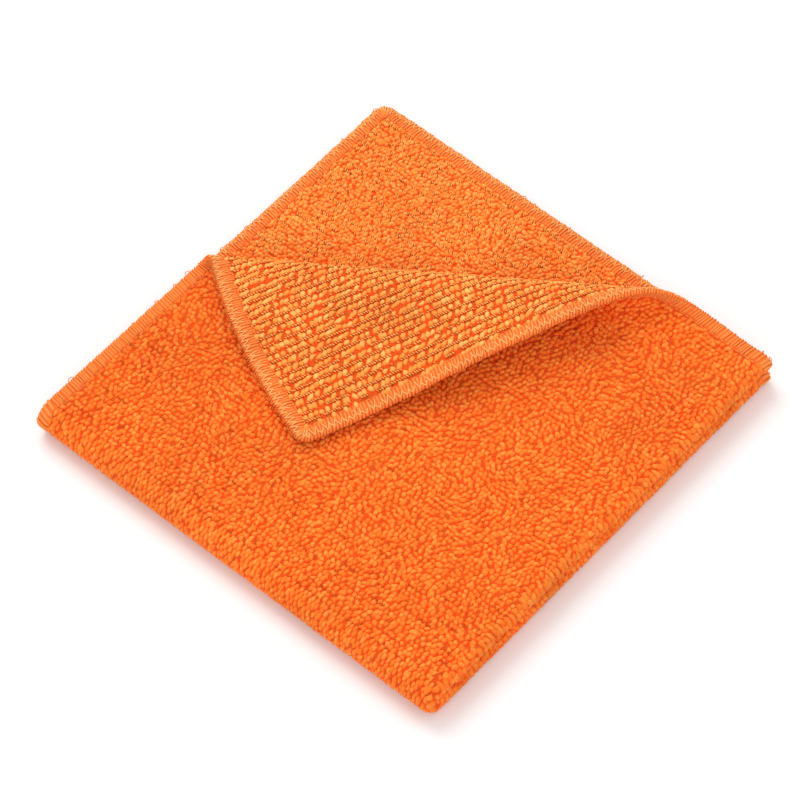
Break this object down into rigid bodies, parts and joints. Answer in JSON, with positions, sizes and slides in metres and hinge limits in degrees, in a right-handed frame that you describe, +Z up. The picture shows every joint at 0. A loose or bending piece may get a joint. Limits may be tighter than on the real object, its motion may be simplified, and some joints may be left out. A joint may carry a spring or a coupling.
{
  "type": "folded terry towel",
  "caption": "Quick-dry terry towel with overlocked edges, folded into a square with one corner turned back.",
  "frame": {"origin": "middle of the folded square's underside", "axes": "+Z up through the stack; the first fold's lips along +X, the second fold along -Y, the sewn edges along -X and +Y"},
  "size_m": [0.1602, 0.1642, 0.0258],
  "materials": {
    "terry_pile": "long orange microfibre loops, soft and matt, on the outer face",
    "terry_back": "short orange loops in ribbed rows, a little lighter, on the reverse face",
    "overlock_thread": "light orange polyester overlock thread, slightly shiny"
  },
  "bodies": {
    "lower_half": {"bottom_quarter": "terry_pile", "second_quarter": "terry_back", "first_fold_lower_lip": "terry_pile", "bottom_edging": "overlock_thread", "second_edging": "overlock_thread", "lower_lip_edging": "overlock_thread", "second_fold_outer": "terry_pile", "second_fold_inner": "terry_back", "closed_corner": "terry_pile", "outer_fold_edging": "overlock_thread", "inner_fold_edging": "overlock_thread"},
    "upper_half": {"third_quarter": "terry_back", "top_quarter": "terry_pile", "first_fold_upper_lip": "terry_pile", "third_edging": "overlock_thread", "top_left_edging": "overlock_thread", "upper_lip_edging": "overlock_thread", "corner_roll": "terry_back", "roll_left_edging": "overlock_thread", "roll_back_edging": "overlock_thread"},
    "turned_corner": {"corner_flap": "terry_back", "flap_edging": "overlock_thread"}
  },
  "joints": [
    {"name": "second_fold", "type": "hinge", "parent": "lower_half", "child": "upper_half", "pos_m": [0, -0.07825, 0.00625], "axis": [1, 0, 0], "range_deg": [0, 180], "deforming": ["second_fold_outer", "second_fold_inner", "closed_corner", "outer_fold_edging", "inner_fold_edging"]},
    {"name": "corner_turn", "type": "hinge", "parent": "upper_half", "child": "turned_corner", "pos_m": [-0.01457, 0.03442, 0.016], "axis": [-0.8566, -0.516, 0], "range_deg": [0, 168], "deforming": ["corner_roll", "roll_left_edging", "roll_back_edging"]}
  ]
}
